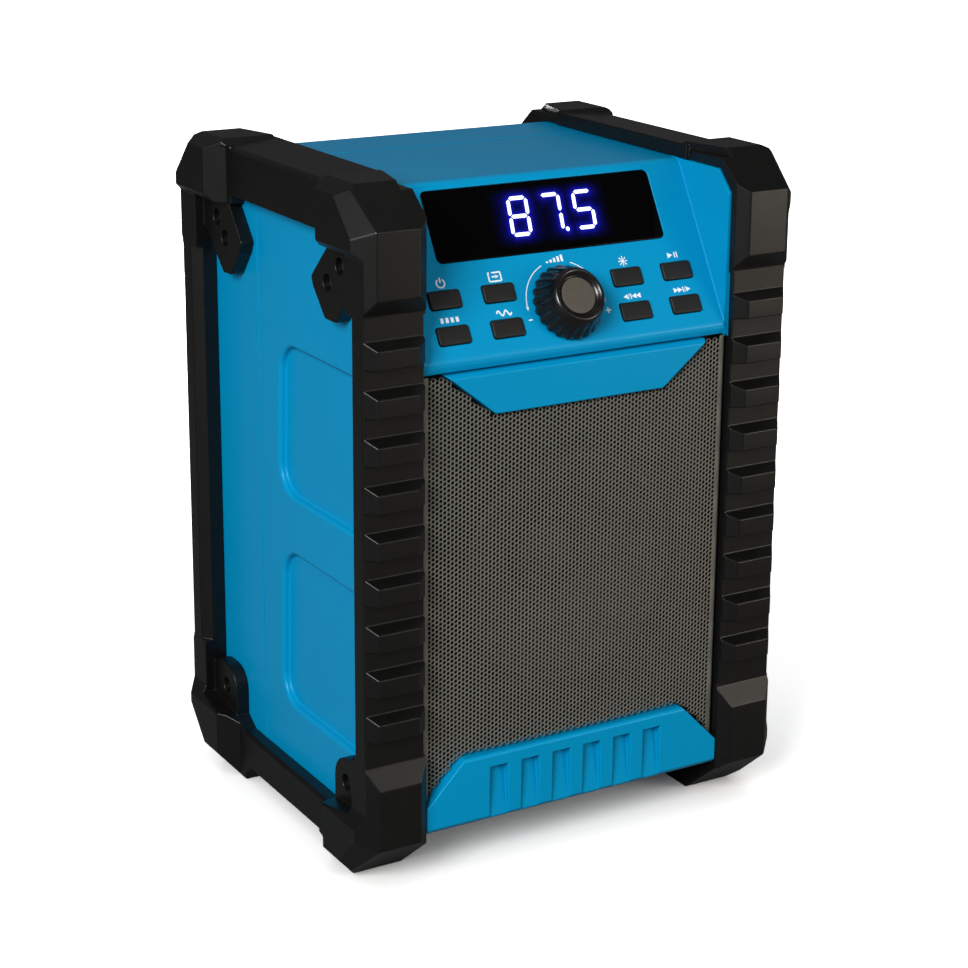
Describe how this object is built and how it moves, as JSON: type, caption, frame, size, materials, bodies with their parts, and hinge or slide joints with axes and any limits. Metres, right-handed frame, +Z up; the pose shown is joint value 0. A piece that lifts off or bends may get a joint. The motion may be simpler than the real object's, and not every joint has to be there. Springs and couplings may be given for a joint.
{
  "type": "jobsite radio",
  "caption": "Blue jobsite radio between two black ribbed side frames, with a tilted display and keypad over a perforated grille.",
  "frame": {"origin": "middle of the footprint on the ground, between the four feet", "axes": "+Z up, +X to the right seen from the front, +Y from the front to the back"},
  "size_m": [0.2602, 0.225, 0.364],
  "materials": {
    "shell": "satin",
    "frame": "textured",
    "window": "gloss",
    "key": "matt",
    "knob": "satin",
    "cap": "textured",
    "mesh": "satin",
    "black_screw": "satin",
    "steel": "satin",
    "pin": "satin",
    "seal": "matt",
    "dark_plastic": "matt",
    "board": "satin",
    "cable": "matt",
    "sink": "satin",
    "speaker_metal": "satin",
    "magnet": "matt",
    "surround": "matt",
    "cone_paper": "matt",
    "brass": "satin",
    "antenna": "polished"
  },
  "bodies": {
    "radio": {"front_housing": "shell", "rear_housing": "shell", "housing_seal": "seal", "housing_screws": "steel", "side_frame_left": "frame", "side_frame_right": "frame", "frame_screws": "black_screw", "grille": "mesh", "chin_panel": "shell", "vent_panel": "shell", "display_window": "window", "led_module": "dark_plastic", "encoder_body": "steel", "control_board": "board", "tact_switches": "steel", "ribbon_cable": "cable", "main_board": "board", "heat_sink": "sink", "speaker_frame": "speaker_metal", "speaker_magnet": "magnet", "speaker_surround": "surround", "battery_tray": "dark_plastic", "battery_terminal": "dark_plastic", "terminal_blades": "brass", "door_hinge_pin": "pin", "socket_panel": "dark_plastic", "antenna_base": "dark_plastic"},
    "knob": {"volume_knob": "knob", "knob_cap": "cap", "encoder_shaft": "pin"},
    "power_key": {"power_button": "key"},
    "source_key": {"source_button": "key"},
    "preset_key": {"preset_button": "key"},
    "tune_key": {"tune_button": "key"},
    "light_key": {"light_button": "key"},
    "play_key": {"play_button": "key"},
    "previous_key": {"previous_button": "key"},
    "next_key": {"next_button": "key"},
    "cone": {"speaker_cone": "cone_paper", "dust_cap": "cone_paper"},
    "door": {"battery_door": "shell", "latch_pin": "pin"},
    "latch": {"door_latch": "dark_plastic"},
    "cover": {"socket_cover": "key"},
    "swivel": {"antenna_swivel": "antenna", "antenna_pin": "pin"},
    "mast": {"antenna_mast": "antenna"},
    "tube_2": {"antenna_tube_2": "antenna"},
    "tube_3": {"antenna_tube_3": "antenna"}
  },
  "joints": [
    {"name": "volume_turn", "type": "hinge", "parent": "radio", "child": "knob", "pos_m": [-0.0016, -0.0917, 0.29292], "axis": [0, -0.866, 0.5], "continuous": true},
    {"name": "power_press", "type": "slide", "parent": "radio", "child": "power_key", "axis": [0, 0.866, -0.5], "range_m": [0, 0.0008], "stiffness_N_per_m": 600, "springref_m": -0.0004},
    {"name": "source_press", "type": "slide", "parent": "radio", "child": "source_key", "axis": [0, 0.866, -0.5], "range_m": [0, 0.0008], "stiffness_N_per_m": 600, "springref_m": -0.0004},
    {"name": "preset_press", "type": "slide", "parent": "radio", "child": "preset_key", "axis": [0, 0.866, -0.5], "range_m": [0, 0.0008], "stiffness_N_per_m": 600, "springref_m": -0.0004},
    {"name": "tune_press", "type": "slide", "parent": "radio", "child": "tune_key", "axis": [0, 0.866, -0.5], "range_m": [0, 0.0008], "stiffness_N_per_m": 600, "springref_m": -0.0004},
    {"name": "light_press", "type": "slide", "parent": "radio", "child": "light_key", "axis": [0, 0.866, -0.5], "range_m": [0, 0.0008], "stiffness_N_per_m": 600, "springref_m": -0.0004},
    {"name": "play_press", "type": "slide", "parent": "radio", "child": "play_key", "axis": [0, 0.866, -0.5], "range_m": [0, 0.0008], "stiffness_N_per_m": 600, "springref_m": -0.0004},
    {"name": "previous_press", "type": "slide", "parent": "radio", "child": "previous_key", "axis": [0, 0.866, -0.5], "range_m": [0, 0.0008], "stiffness_N_per_m": 600, "springref_m": -0.0004},
    {"name": "next_press", "type": "slide", "parent": "radio", "child": "next_key", "axis": [0, 0.866, -0.5], "range_m": [0, 0.0008], "stiffness_N_per_m": 600, "springref_m": -0.0004},
    {"name": "cone_stroke", "type": "slide", "parent": "radio", "child": "cone", "axis": [0, 1, 0], "range_m": [-0.002, 0.002], "stiffness_N_per_m": 1500},
    {"name": "door_swing", "type": "hinge", "parent": "radio", "child": "door", "pos_m": [0, 0.1059, 0.043], "axis": [-1, 0, 0], "range_deg": [0, 95]},
    {"name": "latch_swing", "type": "hinge", "parent": "door", "child": "latch", "pos_m": [0, 0.1069, 0.156], "axis": [-1, 0, 0], "range_deg": [0, 60]},
    {"name": "cover_swing", "type": "hinge", "parent": "radio", "child": "cover", "pos_m": [-0.038, 0.1053, 0.253], "axis": [1, 0, 0], "range_deg": [0, 150]},
    {"name": "antenna_turn", "type": "hinge", "parent": "radio", "child": "swivel", "pos_m": [0.07, 0.1072, 0.185], "axis": [0, 0, 1], "range_deg": [-60, 60]},
    {"name": "antenna_fold", "type": "hinge", "parent": "swivel", "child": "mast", "pos_m": [0.07, 0.1072, 0.198], "axis": [-1, 0, 0], "range_deg": [0, 90]},
    {"name": "tube_2_draw", "type": "slide", "parent": "mast", "child": "tube_2", "axis": [0, 0, 1], "range_m": [0, 0.1]},
    {"name": "tube_3_draw", "type": "slide", "parent": "tube_2", "child": "tube_3", "axis": [0, 0, 1], "range_m": [0, 0.1]}
  ]
}
